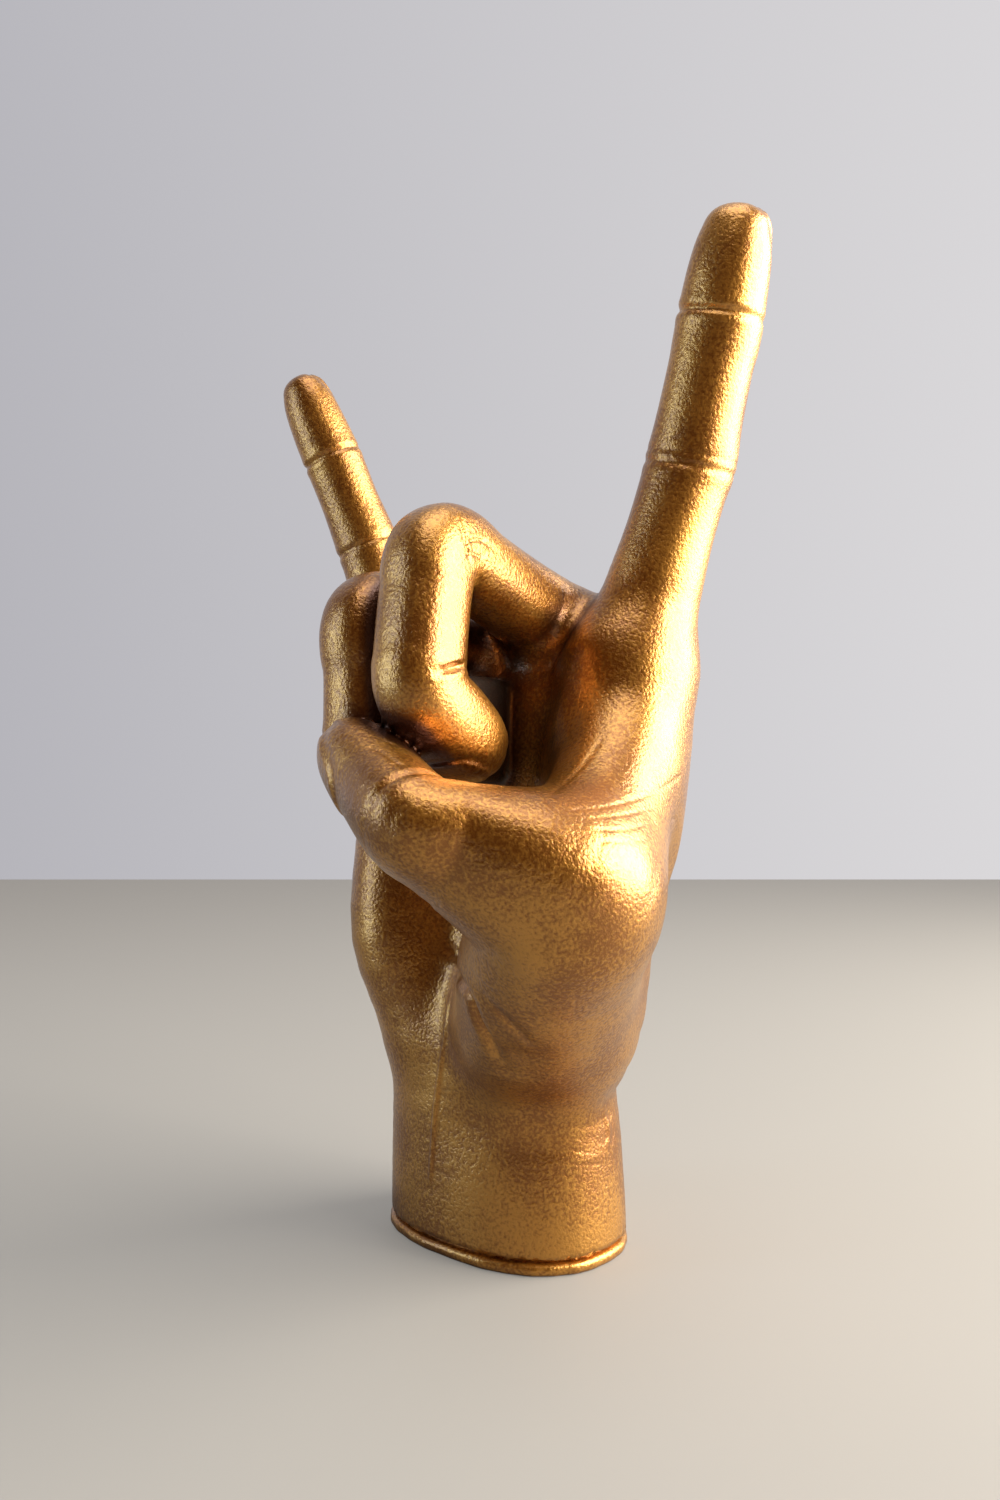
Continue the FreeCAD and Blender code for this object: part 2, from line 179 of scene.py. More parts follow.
# The wrist and the palm, one hollow slip casting from a mould taken off a real hand. It is
# a bundle of soft round forms that run into each other: the wrist, the slab of the palm,
# its four bones, the heel, the ball of the thumb, its web with a ridge, and a tendon.
# Rows of a form: centre, way its back faces, half width, depth to the back, to the front.
BACK = (0, 1, 0)
WRIST_BOXY = 2.35
PALM_FORMS = {
    "wrist": (
        (0, -0.3, -6, *BACK, 29.4, 21, 21),
        (0, -0.3, 6, *BACK, 29.4, 21, 21),
        (-0.5, -0.5, 22, *BACK, 29, 20.5, 20),
        (-0.8, -0.6, 40, *BACK, 28.4, 19.5, 19),
        (1.2, 2.5, 58, *BACK, 32.3, 18.5, 17),
        (0, 2.5, 78, *BACK, 34.5, 16, 13),
    ),
    "slab": (
        (0, 2.5, 50, *BACK, 27, 15, 13),
        (-0.5, 4, 78, *BACK, 33, 13.5, 11),
        (0, 4, 105, *BACK, 36, 12.5, 11),
        (1, 4, 122, *BACK, 37, 12, 11),
    ),
    "index_bone": (
        (14, 4, 55, *BACK, 12, 13, 13),
        (26, 6, 85, *BACK, 12, 12.5, 12),
        (29.8, 7, 110, *BACK, 12.5, 12.8, 12),
        (31, 7, 128, *BACK, 11.2, 11.6, 12),
    ),
    "middle_bone": (
        (4, 5, 55, *BACK, 11, 13, 10),
        (8, 7, 95, *BACK, 11, 12, 11),
        (10, 7.5, 130, *BACK, 11.5, 12.5, 12),
    ),
    "ring_bone": (
        (-4, 4, 55, *BACK, 11, 13, 10),
        (-9, 5, 95, *BACK, 11, 12, 11),
        (-11, 4.5, 126, *BACK, 11, 12, 12),
    ),
    "little_bone": (
        (-12, 1, 55, *BACK, 10, 12, 12),
        (-23, 1, 90, *BACK, 10, 11, 12),
        (-29, -1, 118, *BACK, 10.5, 10.5, 12),
    ),
    "heel": (
        (-16.5, -7, 50, *BACK, 12.5, 10, 12),
        (-23.5, -9, 69, *BACK, 13.5, 11, 14),
        (-26, -7, 95, *BACK, 12, 10, 12),
        (-28, -6, 112, *BACK, 10, 10, 10),
    ),
    "thumb_ball": (
        (16, -7, 50, *BACK, 13, 10, 10.5),
        (25, -18, 68, 0.3, 1, 0, 15, 14, 15),
        (33, -25, 81, 0.5, 1, 0, 13, 13, 14),
    ),
    "web": (
        (40, -32, 86, 1, 0.3, 0, 9, 8, 8),
        (38.5, -18, 92, 1, 0, 0, 12, 9, 9),
        (33, -4, 100, 1, 0, 0, 13, 9, 9),
    ),
    "ridge": (
        (41, -31, 90, 1, -0.3, 0, 8, 8, 8),
        (39, -18, 101, 1, -0.2, 0, 9, 8.6, 8.6),
        (35, -5, 115, 1, -0.1, 0, 9, 8.8, 8.6),
        (32.4, 3, 131, 1, 0, 0, 8, 7.5, 7.5),
    ),
    "index_tendon": (
        (22, -2, 96, *BACK, 4, 8, 7),
        (25, -1, 115, *BACK, 5, 8, 8.5),
        (28, 1, 134, *BACK, 5, 8, 9),
    ),
}
# How far each form melts into those before it
MELT = {"slab": 6, "index_bone": 6, "middle_bone": 6, "ring_bone": 6, "little_bone": 6,
        "heel": 10, "thumb_ball": 12, "web": 14, "ridge": 17, "index_tendon": 8}


def unit(vectors):
    """Each row divided by its length."""
    vectors = np.asarray(vectors, float)
    return vectors / np.linalg.norm(vectors, axis=-1, keepdims=True)


def flowing(rows, steps):
    """Rows between the given ones, on a Catmull-Rom curve: each span is a cubic whose
    ends have the slope of the line between the neighbours."""
    rows = np.asarray(rows, float)
    rows = np.vstack([2 * rows[0] - rows[1], rows, 2 * rows[-1] - rows[-2]])
    t = np.linspace(0, 1, steps, endpoint=False)[None, :, None]
    a, b, c, d = (rows[i:len(rows) - 3 + i, None] for i in range(4))
    bend = 2 * a - 5 * b + 4 * c - d
    twist = 3 * b - a - 3 * c + d
    curve = 0.5 * (2 * b + (c - a) * t + bend * t ** 2 + twist * t ** 3)
    return np.vstack([curve.reshape(-1, rows.shape[1]), rows[-2:-1]])


# Nothing further from a form than this matters to the skin
MARGIN = 19


class Form:
    """A soft round form: an oval whose centre, turn and depths flow along a curve."""

    def __init__(self, rows, steps=4, boxy=2.0, end_share=1.0):
        self.boxy = boxy
        self.end_share = end_share
        flow = flowing(rows, steps)
        self.centre = flow[:, :3]
        self.along = unit(np.gradient(self.centre, axis=0))
        back = flow[:, 3:6] - (flow[:, 3:6] * self.along).sum(1)[:, None] * self.along
        self.back = unit(back)
        self.side = np.cross(self.along, self.back)
        self.depths = flow[:, 6:9]

    def distance(self, points):
        """Signed distance to the form, to first order. With k the offset's length in units of
        the oval, each part to the boxy power, it is (k - 1) over k's slope, least of all spans."""
        least = np.full(len(points), 1e9)
        p = self.boxy
        for i in range(len(self.centre) - 1):
            span = self.centre[i + 1] - self.centre[i]
            reach = math.sqrt(span @ span) / 2 + self.depths[i:i + 2].max() + MARGIN
            middle = self.centre[i] + span / 2
            near = np.flatnonzero(((points - middle) ** 2).sum(1) < reach ** 2)
            offset = points[near] - self.centre[i]
            share = np.clip(offset @ span / (span @ span), 0, 1)[:, None]
            offset = offset - share * span
            side = self.side[i] + share * (self.side[i + 1] - self.side[i])
            back = self.back[i] + share * (self.back[i + 1] - self.back[i])
            wide, deep, front = (self.depths[i] + share * (self.depths[i + 1] - self.depths[i])).T
            x = (offset * side).sum(1)
            y = (offset * back).sum(1)
            past = np.sqrt(np.maximum((offset ** 2).sum(1) - x ** 2 - y ** 2, 0))
            deep = np.where(y > 0, deep, front)
            end = np.minimum(wide, deep) * self.end_share
            parts = np.stack((np.abs(x) / wide, np.abs(y) / deep, past / end)) + 1e-9
            if p == 2:
                k = np.sqrt((parts ** 2).sum(0))
                slope = np.sqrt(((parts / (wide, deep, end)) ** 2).sum(0)) / k
            else:
                powers = parts ** (p - 1)
                k = (powers * parts).sum(0) ** (1 / p)
                slope = np.sqrt(((powers / (wide, deep, end)) ** 2).sum(0)) * k ** (1 - p)
            least[near] = np.minimum(least[near], (k - 1) / slope)
        return least


forms = {name: Form(rows, boxy=WRIST_BOXY if name == "wrist" else 2.0) for name, rows in PALM_FORMS.items()}


# The index and the little finger, slip cast apart and luted to the palm. They stand up
# nearly straight, each a chain of three bones that curl a little towards the palm.
# Rows of a bone: share of its length, half width, depth to the back, depth to the front.
FINGER_ROOTS = {
    "index": (31.2, 6.8, 134.3),
    "little": (-32.3, -0.6, 133.7),
    "middle": (10.7, 9.4, 141.4),
    "ring": (-10.2, 5.4, 135.1),
}
# A finger's section is a little squarer than an oval, which has 2
FINGER_BOXY = 2.3
# Lengths of the bones, spread from upright, curl at each joint in degrees
FINGER_BONES = {
    "index": ((45, 27, 29), 14.5, (-7.2, 8.5, 2.5)),
    "little": ((35, 21, 24), -15.8, (8.1, 6.9, 2.2)),
    "middle": ((49.5, 32.5, 25), -4.1, (71.2, 97.6, 67.3)),
    "ring": ((44.6, 32, 24), -2.5, (75.5, 101.5, 57)),
}
STRAIGHT_ROWS = {
    "index": (
        ((0, 11.6, 11, 12), (0.3, 10.6, 10, 11), (0.6, 9.6, 9, 9.8), (0.85, 9.5, 9, 9.4)),
        ((0, 9.9, 9.3, 9.3), (0.3, 9.3, 8.8, 9.1), (0.75, 9, 8.6, 8.8)),
        ((0, 9.3, 8.9, 8.7), (0.3, 9, 8.3, 8.7), (0.55, 8.4, 7.7, 7.9), (0.71, 7.3, 6.8, 6.8)),
    ),
    "little": (
        ((0, 9.5, 9, 9.5), (0.45, 8, 7.6, 8), (0.8, 7.5, 7, 7.2)),
        ((0, 7.8, 7.2, 7.4), (0.5, 7.2, 6.7, 7)),
        ((0, 7.3, 6.6, 7), (0.3, 7.1, 6.2, 7), (0.6, 6.5, 5.6, 6.4), (0.75, 5.6, 4.9, 5.5)),
    ),
}


def turning(axis, degrees):
    """The matrix of a turn about an axis, by Rodrigues' formula."""
    x, y, z = unit(axis)
    cross = np.array([[0, -z, y], [z, 0, -x], [-y, x, 0]])
    angle = math.radians(degrees)
    return np.eye(3) + math.sin(angle) * cross + (1 - math.cos(angle)) * cross @ cross


def finger_joints(name):
    """A finger's joints and the way each bone's back faces."""
    lengths, spread, curls = FINGER_BONES[name]
    up = turning((0, 1, 0), spread) @ np.array((0, 0, 1.0))
    back = np.array((0, 1.0, 0))
    side = unit(np.cross(up, back))
    joints = [np.array(FINGER_ROOTS[name])]
    backs = []
    curl = 0
    for length, more in zip(lengths, curls):
        curl += more
        turn = turning(side, -curl)
        backs.append(turn @ back)
        joints.append(joints[-1] + turn @ up * length)
    return joints, backs


def limb_rows(joints, backs, rows, bends):
    """Rows along a chain of bones. At a bend they follow an arc of the given radius,
    and the depth to the back swells in the middle of it, as a bent knuckle does."""
    ways = [unit(end - start) for start, end in zip(joints, joints[1:])]
    chain = []
    for bone, (start, end) in enumerate(zip(joints, joints[1:])):
        back = unit(backs[bone] - (backs[bone] @ ways[bone]) * ways[bone])
        for share, *depths in rows[bone]:
            chain.append([*(start + (end - start) * share), *back, *depths])
        if bone + 1 in bends:
            radius, wide, deep, front, swell = bends[bone + 1]
            axis = unit(np.cross(ways[bone], ways[bone + 1]))
            bend = math.acos(np.clip(ways[bone] @ ways[bone + 1], -1, 1))
            inward = np.cross(axis, ways[bone])
            centre = end - ways[bone] * radius * math.tan(bend / 2) + inward * radius
            for share in np.linspace(0, 1, 5):
                turn = turning(axis, math.degrees(bend) * share)
                knuckle = 1 + swell * math.sin(math.pi * share) ** 2
                place = centre - turn @ inward * radius
                chain.append([*place, *(turn @ back), wide, deep * knuckle, front])
    return chain


for name, rows in STRAIGHT_ROWS.items():
    forms[name] = Form(limb_rows(*finger_joints(name), rows, {}), steps=5, boxy=FINGER_BOXY)


# The middle and the ring finger, cast apart too, because a mould can't be drawn off
# their curl. They fold down on the palm until their tips point back at it.
# Rows as above. Bends after a bone: radius, half width, depth to the back, to the front,
# and the knuckle's swell as a share of the depth.
CURLED_ROWS = {
    "middle": (
        ((0, 10.6, 9.8, 11), (0.4, 9.3, 8.6, 9.4), (0.7, 9.2, 8.2, 8.6)),
        ((0.5, 9, 9.2, 8.2),),
        ((0.35, 8.9, 10, 8.4), (0.6, 8.5, 9.2, 7.8), (0.75, 7.4, 7.8, 7)),
    ),
    "ring": (
        ((0, 10.2, 9.4, 10.5), (0.4, 9, 8.4, 9), (0.7, 8.8, 7.8, 8.2)),
        ((0.5, 7.9, 7, 8),),
        ((0.35, 8, 7, 8), (0.6, 7.2, 6.2, 7.2), (0.75, 6.4, 5.6, 6.4)),
    ),
}
CURLED_BOXY = 2.5
CURLED_BENDS = {
    "middle": {1: (9.2, 9.2, 8.6, 8.4, 0.3), 2: (8.8, 9, 9.2, 8.2, 0.08)},
    "ring": {1: (8.8, 8.5, 7.8, 8, 0.25), 2: (8.4, 8, 6.8, 7.8, 0.1)},
}
for name, rows in CURLED_ROWS.items():
    forms[name] = Form(limb_rows(*finger_joints(name), rows, CURLED_BENDS[name]), steps=4, boxy=CURLED_BOXY)

# The mould can't reach inside the ring finger's curl, so a plug of clay fills it. It shows
# as a rough wall behind the middle finger.
CURL_PLUG = (
    (-13, -15, 118, *BACK, 12, 12, 13),
    (3, -14, 118, *BACK, 12, 12, 13),
)
CURL_PLUG_BOXY = 3.6
CURL_PLUG_END_SHARE = 0.3
forms["curl_plug"] = Form(CURL_PLUG, steps=2, boxy=CURL_PLUG_BOXY, end_share=CURL_PLUG_END_SHARE)


# The thumb, cast apart from its knuckle on. It crosses in front of the palm and lies
# over the two curled fingers, its nail turned away from the palm.
THUMB_JOINTS = ((20, -14, 56), (45, -37, 86), (20.3, -54.4, 98.5), (-7.6, -46.4, 115))
THUMB_BACKS = ((0.7, -0.2, -0.3), (0.2, -0.8, -0.6), (-0.45, -0.75, -0.6))
THUMB_ROWS = (
    ((0, 15, 13, 13), (0.5, 15, 13, 14), (0.9, 13.6, 11.4, 12.4)),
    ((0.35, 14.4, 10.5, 12), (0.7, 13.8, 9.6, 11.5)),
    ((0, 12.8, 9.4, 11), (0.4, 11.4, 9, 10), (0.7, 10.4, 8, 8.8), (0.82, 8.8, 6.8, 7.6)),
)
thumb_joints = [np.array(joint, float) for joint in THUMB_JOINTS]
thumb_backs = [np.array(back) for back in THUMB_BACKS]
forms["thumb"] = Form(limb_rows(thumb_joints, thumb_backs, THUMB_ROWS, {}), steps=5)


# The skin of the whole casting. The potter sponges the luted joints smooth, so the
# pieces run into each other at their roots and only touch where the fingers lie.
# Limb: melt near its root and far from it, and how far from the root one starts and ends
# turning to the other.
LIMB_MELT = {
    "thumb": (18, 1, 60, 85),
    "index": (9, 1, 16, 40),
    "little": (8, 1, 12, 28),
    "middle": (9, 0.5, 12, 26),
    "ring": (9, 0.5, 12, 26),
}
PLUG_MELT = 1.5
# The casting ends on the base plate's bed
FOOT_HEIGHT = 3.1
# The coarse grid's step, and how many fine steps go into it
COARSE = 5.2
FINE_STEPS = 4
# A coarse cell counts as near the skin within this many of its steps
NEAR_STEPS = 1.5
# Room that the grid leaves round the forms
GRID_MARGIN = 2


def melted(first, second, melt):
    """The lesser of two distances, rounded where they are closer than the melt."""
    overlap = np.maximum(melt - np.abs(first - second), 0) / melt
    return np.minimum(first, second) - overlap ** 2 * melt / 4


def skin_distance(points):
    """Signed distance to the skin: all the forms, each melted into those before it."""
    def of_form(name):
        return np.minimum(forms[name].distance(points), 2 * MARGIN)

    skin = of_form("wrist")
    for name, melt in MELT.items():
        skin = melted(skin, of_form(name), melt)
    for name, (melt, touch, start, end) in LIMB_MELT.items():
        root = thumb_joints[0] if name == "thumb" else np.array(FINGER_ROOTS[name])
        share = np.clip((np.linalg.norm(points - root, axis=1) - start) / (end - start), 0, 1)
        share = share * share * (3 - 2 * share)
        skin = melted(skin, of_form(name), melt + (touch - melt) * share)
    skin = melted(skin, of_form("curl_plug"), PLUG_MELT)
    return np.maximum(skin, FOOT_HEIGHT - points[:, 2])


def narrow_grid(low, high):
    """The skin's distance on a fine grid, worked out only in coarse cells near the skin."""
    counts = ((high - low) / COARSE).astype(int) + 2
    axes = [low[i] + COARSE * np.arange(counts[i]) for i in range(3)]
    grid = np.stack(np.meshgrid(*axes, indexing="ij"), -1)
    coarse = skin_distance(grid.reshape(-1, 3)).reshape(counts)
    near = np.abs(coarse) < COARSE * NEAR_STEPS
    cells = np.zeros(counts - 1, bool)
    for i in (0, 1):
        for j in (0, 1):
            for k in (0, 1):
                cells |= near[i:counts[0] - 1 + i, j:counts[1] - 1 + j, k:counts[2] - 1 + k]
    block = np.ones((FINE_STEPS, FINE_STEPS, FINE_STEPS))
    nx, ny, nz = (counts - 1) * FINE_STEPS + 1
    fine = np.kron(coarse, block)[:nx, :ny, :nz]
    wanted = np.kron(cells, block) > 0
    places = np.argwhere(wanted)
    step = COARSE / FINE_STEPS
    fine[tuple(places.T)] = skin_distance(low + places * step)
    return fine, step


def net(field, low, step):
    """Vertices and quads of a surface net: a vertex in each cell that the skin crosses, at
    the mean of the crossings on its edges, and a quad round each crossed edge of the grid."""
    counts = np.array(field.shape)
    total = np.zeros((*(counts - 1), 3))
    crossings = np.zeros(counts - 1)
    for axis in range(3):
        others = [i for i in range(3) if i != axis]
        for first in (0, 1):
            for second in (0, 1):
                shift = np.zeros(3, int)
                shift[others] = first, second
                start = [slice(shift[i], counts[i] - 1 + shift[i]) for i in range(3)]
                end = list(start)
                start[axis] = slice(0, counts[axis] - 1)
                end[axis] = slice(1, counts[axis])
                here = field[tuple(start)]
                there = field[tuple(end)]
                crossed = (here < 0) != (there < 0)
                place = np.zeros((*here.shape, 3))
                place[..., axis] = np.where(crossed, here / np.where(crossed, here - there, 1), 0)
                place[..., others[0]] = first
                place[..., others[1]] = second
                total += place * crossed[..., None]
                crossings += crossed
    active = crossings > 0
    number = np.full(active.shape, -1)
    number[active] = np.arange(active.sum())
    vertices = low + step * (np.argwhere(active) + total[active] / crossings[active][:, None])
    quads = []
    for axis in range(3):
        others = [i for i in range(3) if i != axis]
        inner = [slice(1, count - 1) for count in counts]
        start = list(inner)
        end = list(inner)
        start[axis] = slice(0, counts[axis] - 1)
        end[axis] = slice(1, counts[axis])
        here = field[tuple(start)]
        there = field[tuple(end)]
        for outward in (False, True):
            crossed = (here >= 0) & (there < 0) if outward else (here < 0) & (there >= 0)
            cell = np.argwhere(crossed)
            cell[:, others] += 1
            corners = []
            for first, second in ((-1, -1), (0, -1), (0, 0), (-1, 0)):
                corner = cell.copy()
                corner[:, others[0]] += first
                corner[:, others[1]] += second
                corners.append(number[tuple(corner.T)])
            quad = np.stack(corners, 1)
            quads.append(quad[:, ::-1] if outward ^ (axis == 1) else quad)
    return vertices, np.vstack(quads)


def slope(points, reach=0.3):
    """The way that the skin's distance grows fastest, by differences each way."""
    steps = np.eye(3) * reach
    return np.stack([skin_distance(points + s) - skin_distance(points - s) for s in steps], 1) / (2 * reach)


def relaxed(vertices, quads, rounds):
    """The vertices drawn towards the mean of their neighbours, a few times."""
    here, there = np.vstack([quads[:, [0, 1]], quads[:, [1, 2]], quads[:, [2, 3]], quads[:, [3, 0]]]).T
    count = np.bincount(here, minlength=len(vertices))[:, None]
    for _ in range(rounds):
        total = np.stack([np.bincount(here, vertices[there, i], len(vertices)) for i in range(3)], 1)
        vertices = vertices + 0.5 * (total / count - vertices)
    return vertices


lows = [form.centre.min(0) - form.depths.max() for form in forms.values()]
highs = [form.centre.max(0) + form.depths.max() for form in forms.values()]
box_low = np.min(lows, 0) - GRID_MARGIN
box_high = np.max(highs, 0) + GRID_MARGIN
box_low[2] = 0
field, step = narrow_grid(box_low, box_high)
skin_vertices, skin_quads = net(field, box_low, step)
skin_vertices = relaxed(skin_vertices, skin_quads, 3)


# A point is drawn no further than this onto the skin, and a slope counts as no less than this
LONGEST_PULL = 0.5
LEAST_SLOPE = 0.2


def on_skin(points):
    """The points drawn onto the skin, by the distance over its slope, and its normals there."""
    away = slope(points)
    steep = np.linalg.norm(away, axis=1)[:, None]
    pull = np.clip(skin_distance(points), -LONGEST_PULL, LONGEST_PULL)[:, None]
    return points - pull * away / np.maximum(steep, LEAST_SLOPE), away / np.maximum(steep, 1e-6)


skin_vertices, skin_normals = on_skin(skin_vertices)
skin_triangles = np.vstack([skin_quads[:, [0, 1, 2]], skin_quads[:, [0, 2, 3]]])


# The relief of the skin. The mould is taken off a real hand, so every crease, wrinkle and
# nail of it is in the casting, and so is the seam where the two halves of the mould met.
# Lines are placed by the photo's pixels, on the skin that is seen there: depth, half width,
# rim as a share of the depth, then the points.
LINES = {
    "thumb_fold": (1.3, 1.5, 0.1, (446, 926), (454, 952), (462, 985), (480, 1028), (504, 1070)),
    "ball_fold": (0.5, 1.4, 0, (476, 985), (504, 1018), (540, 1052)),
    "life_line": (0.15, 0.7, 0, (548, 800), (566, 782), (590, 756), (606, 732)),
    "web_wrinkle_1": (0.16, 0.45, 0.2, (566, 812), (610, 806), (655, 792), (682, 774)),
    "web_wrinkle_2": (0.14, 0.4, 0.2, (580, 821), (630, 814), (672, 802)),
    "web_wrinkle_3": (0.14, 0.4, 0.2, (590, 831), (635, 828), (676, 818)),
    "web_wrinkle_4": (0.12, 0.4, 0.2, (600, 842), (640, 840), (674, 834)),
    "mould_seam": (-0.5, 0.6, 0, (452, 990), (446, 1030), (440, 1070), (434, 1120), (430, 1185)),
    "wrist_wrinkle_1": (0.05, 0.45, 0, (550, 1124), (580, 1127), (612, 1123)),
    "wrist_wrinkle_2": (0.05, 0.45, 0, (546, 1136), (580, 1139), (612, 1136)),
    "wrist_wrinkle_3": (0.05, 0.45, 0, (552, 1149), (588, 1152), (612, 1150)),
    "wrist_wrinkle_4": (0.05, 0.45, 0, (548, 1161), (588, 1165), (612, 1163)),
    "vein": (-0.3, 0.8, 0, (604, 1104), (609, 1130), (606, 1155)),
    "middle_inner_crease": (1.1, 0.7, 0.2, (436, 672), (452, 668), (466, 664)),
    "middle_knuckle_1": (0.35, 0.4, 0.4, (448, 506), (462, 528), (466, 546), (470, 562)),
    "middle_knuckle_2": (0.25, 0.4, 0.3, (463, 543), (480, 540), (497, 552)),
    "middle_knuckle_3": (0.25, 0.4, 0.3, (460, 551), (478, 556), (490, 566)),
    "thumb_wrinkle_1": (0.2, 0.4, 0.2, (372, 736), (392, 744), (412, 756)),
    "thumb_wrinkle_2": (0.2, 0.4, 0.2, (366, 745), (386, 755), (402, 768)),
}
# Soft hollows: depth, reach, place in the photo's pixels
HOLLOWS = {
    "tendon_hollow": (1.5, 9, (536, 1112)),
    "wrist_hollow": (0.8, 8, (470, 1120)),
    "ball_hollow": (0.9, 8, (520, 1060)),
    "palm_hollow": (0.8, 10, (600, 690)),
}
# Creases round a limb: limb, bone, share of its length, depth, half width
RINGS = (
    ("index", 1, -0.05, 0.28, 0.8),
    ("index", 1, 0.04, 0.15, 0.6),
    ("index", 2, 0.15, 0.55, 0.7),
    ("little", 1, -0.08, 0.35, 0.7),
    ("little", 2, 0.06, 0.45, 0.6),
    ("thumb", 2, 0.02, 0.25, 0.8),
    ("ring", 2, 0.05, 0.5, 0.7),
)
# Nails: limb, bone, share of its length where it starts and ends, half width
NAILS = (
    ("index", 2, 0.5, 0.97, 6.2),
    ("little", 2, 0.5, 0.97, 4.6),
    ("middle", 2, 0.5, 0.95, 6),
    ("ring", 2, 0.5, 0.95, 5.6),
    ("thumb", 2, 0.5, 0.99, 7.6),
)
NAIL_RISE = 0.4
NAIL_GROOVE = 0.25
# In half widths: where a line's rim is, how far in from its ends it fades, how far it reaches
RIM_PLACE = 2.2
FADE_LENGTH = 6
LINE_REACH = 3.5
# A crease round a limb is shallower on the back, and its sides swell a little
CREASE_FRONT = 1.0
CREASE_BACK = 0.3
CREASE_SWELL = 0.3
SWELL_PLACE = 2.6
CREASE_REACH = 4
# Nothing further from a bone's axis than this belongs to its finger
LIMB_REACH = 16
# A nail in units of its half size: its edge, how soft that is, and the groove's place
NAIL_EDGE = 1.04
NAIL_SOFT = 0.1
GROOVE_PLACE = 1.12
NAIL_REACH = 1.5
# The skin of a nail faces the bone's back by at least this, and ends this far past the bone
NAIL_FACING = 0.1
PAST_BONE = 12
# The length of an edge near a detail that is split no more
FINEST = 0.5


def seen_at(pixels):
    """The place of the skin that the camera sees at each of the photo's pixels."""
    tree = BVHTree.FromPolygons([tuple(v) for v in skin_vertices], [tuple(q) for q in skin_quads])
    places = {}
    for x, y in pixels:
        pixel_way = Vector((x - PHOTO_WIDTH / 2, PHOTO_HEIGHT / 2 - y, -FOCAL_PIXELS))
        place = tree.ray_cast(Vector(camera_place), camera_turn @ pixel_way.normalized())[0]
        places[x, y] = np.array(camera_place if place is None else place)
    return places


def line_distance(points, line):
    """Distance of each point from a line through the given places."""
    least = np.full(len(points), 1e9)
    for start, end in zip(line, line[1:]):
        span = end - start
        share = np.clip((points - start) @ span / (span @ span), 0, 1)[:, None]
        least = np.minimum(least, np.linalg.norm(points - start - share * span, axis=1))
    return least


line_pixels = [pixel for line in LINES.values() for pixel in line[3:]]
hollow_pixels = [pixel for _, _, pixel in HOLLOWS.values()]
seen = seen_at(line_pixels + hollow_pixels)
lines = {name: flowing([seen[pixel] for pixel in line[3:]], 5) for name, line in LINES.items()}
limbs = {name: finger_joints(name) for name in FINGER_BONES}
limbs["thumb"] = (thumb_joints, thumb_backs)


def bone_frame(limb, bone):
    """A bone's start, its length, the ways along it and to its back, and across."""
    joints, backs = limbs[limb]
    span = joints[bone + 1] - joints[bone]
    length = math.sqrt(span @ span)
    along = span / length
    back = unit(backs[bone] - (backs[bone] @ along) * along)
    return joints[bone], length, along, back, np.cross(along, back)


def relief(points, normals):
    """How far the skin stands out at each point, and how near it is to any detail."""
    height = np.zeros(len(points))
    near = np.zeros(len(points), bool)
    for name, (depth, width, rim, *_) in LINES.items():
        away = line_distance(points, lines[name]) / width
        first, last = (np.linalg.norm(points - lines[name][end], axis=1) for end in (0, -1))
        fade = np.clip(np.minimum(first, last) / (FADE_LENGTH * width), 0.1, 1)
        height += depth * fade * (rim * np.exp(-(away - RIM_PLACE) ** 2) - np.exp(-away ** 2))
        near |= away < LINE_REACH
    for depth, reach, pixel in HOLLOWS.values():
        height -= depth * np.exp(-((points - seen[pixel]) ** 2).sum(1) / reach ** 2)
    for limb, bone, share, depth, width in RINGS:
        start, length, along, back, across = bone_frame(limb, bone)
        offset = points - start
        away = (offset @ along - share * length) / width
        from_axis = np.linalg.norm(offset - (offset @ along)[:, None] * along, axis=1)
        here = (from_axis < LIMB_REACH) & (np.abs(away) < CREASE_REACH)
        turned = (1 + normals @ back) / 2
        strength = CREASE_FRONT + (CREASE_BACK - CREASE_FRONT) * turned
        swell = CREASE_SWELL * np.exp(-(np.abs(away) - SWELL_PLACE) ** 2 / 2)
        height -= here * depth * strength * (np.exp(-away ** 2) - swell)
        near |= here & (np.abs(away) < LINE_REACH)
    for limb, bone, first, last, half_width in NAILS:
        start, length, along, back, across = bone_frame(limb, bone)
        offset = points - start
        u = (offset @ along / length - (first + last) / 2) / ((last - first) / 2)
        v = offset @ across / half_width
        here = (normals @ back > NAIL_FACING) & (offset @ back > 0)
        here &= np.linalg.norm(offset, axis=1) < length + PAST_BONE
        q = (np.abs(u) ** 3 + np.abs(v) ** 3) ** (1 / 3)
        plate = np.clip((NAIL_EDGE - q) / NAIL_SOFT, 0, 1)
        height += here * (NAIL_RISE * plate - NAIL_GROOVE * np.exp(-((q - GROOVE_PLACE) / NAIL_SOFT) ** 2))
        near |= here & (q < NAIL_REACH)
    return height, near


